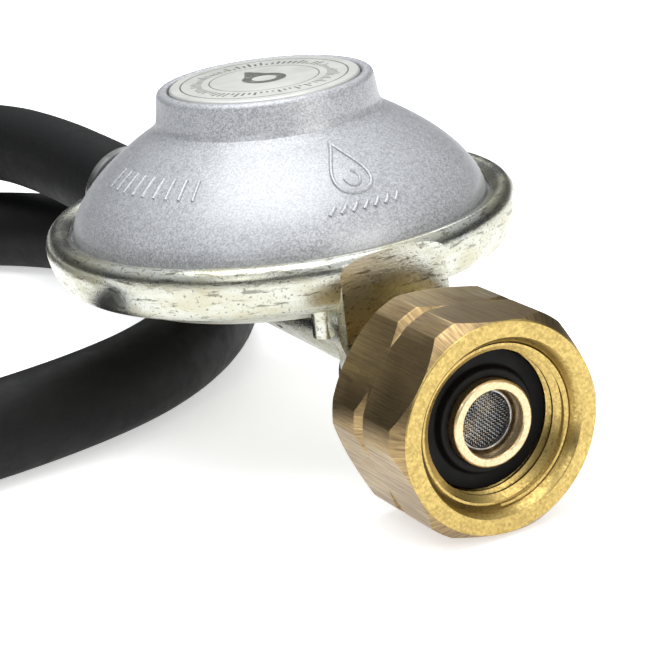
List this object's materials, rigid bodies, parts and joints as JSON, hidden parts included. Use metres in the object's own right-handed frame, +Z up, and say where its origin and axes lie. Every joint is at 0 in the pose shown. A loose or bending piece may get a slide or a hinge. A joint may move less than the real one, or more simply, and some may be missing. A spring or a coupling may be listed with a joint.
{
  "type": "propane regulator hose",
  "caption": "Low-pressure gas regulator with a round domed cover, a hexagonal union nut on its inlet and a looped rubber hose from its outlet to a small swivel nut.",
  "frame": {"origin": "centre of the regulator's footprint on the ground, on the axis of its round body", "axes": "+Z up along the regulator's own axis, -Y the way its inlet points, +Y the way its hose leaves"},
  "size_m": [0.2069, 0.3151, 0.0552],
  "materials": {
    "silver_paint": "satin flake paint",
    "label_plastic": "satin",
    "zinc_plate": "yellow passivated zinc",
    "spring_steel": "bright wire",
    "brass": "machined",
    "pale_brass": "machined, pale",
    "woven_steel": "woven wire",
    "black_rubber": "matt",
    "nitrile_sheet": "matt",
    "black_plastic": "moulded",
    "gasket_rubber": "matt"
  },
  "bodies": {
    "regulator": {"upper_cover": "silver_paint", "label_disc": "label_plastic", "diaphragm": "nitrile_sheet", "lower_body": "zinc_plate", "lever_pin": "spring_steel", "inlet_jet": "brass", "inlet_stem": "pale_brass", "stem_washer": "spring_steel", "inlet_gasket": "gasket_rubber", "filter_ring": "spring_steel", "filter_mesh": "woven_steel", "hose_tail": "brass", "hose_ferrule": "spring_steel", "hose": "black_rubber", "end_ferrule": "spring_steel", "end_tail": "brass", "end_gasket": "gasket_rubber"},
    "union_nut": {"union_nut": "brass"},
    "adjusting_screw": {"adjusting_screw": "black_plastic"},
    "diaphragm_set": {"diaphragm_plate": "zinc_plate", "diaphragm_stem": "brass", "main_spring": "spring_steel", "relief_spring": "spring_steel", "relief_nut": "brass"},
    "lever": {"lever": "zinc_plate"},
    "valve": {"valve_holder": "pale_brass", "seat_pad": "nitrile_sheet"},
    "end_nut": {"end_nut": "brass"}
  },
  "joints": [
    {"name": "union_nut_turn", "type": "hinge", "parent": "regulator", "child": "union_nut", "pos_m": [0, -0.051, 0.01572], "axis": [0, -1, 0], "continuous": true},
    {"name": "adjusting_screw_turn", "type": "hinge", "parent": "regulator", "child": "adjusting_screw", "pos_m": [0, 0, 0.0513], "axis": [0, 0, 1], "range_deg": [-720, 720]},
    {"name": "diaphragm_lift", "type": "slide", "parent": "regulator", "child": "diaphragm_set", "axis": [0, 0, 1], "range_m": [0, 0.0015], "stiffness_N_per_m": 2500, "springref_m": -0.001, "deforming": ["main_spring", "diaphragm"]},
    {"name": "lever_tilt", "type": "hinge", "parent": "regulator", "child": "lever", "pos_m": [0, -0.0115, 0.021], "axis": [1, 0, 0], "range_deg": [0, 8]},
    {"name": "valve_slide", "type": "slide", "parent": "regulator", "child": "valve", "axis": [0, -1, 0], "range_m": [0, 0.0006]},
    {"name": "end_nut_turn", "type": "hinge", "parent": "regulator", "child": "end_nut", "pos_m": [-0.1095, 0.064, 0.0098], "axis": [0, -1, 0], "continuous": true}
  ],
  "couplings": [
    {"joint": "lever_tilt", "follows": "diaphragm_lift", "rad_per_m": 86.96},
    {"joint": "valve_slide", "follows": "diaphragm_lift", "ratio": 0.348}
  ]
}
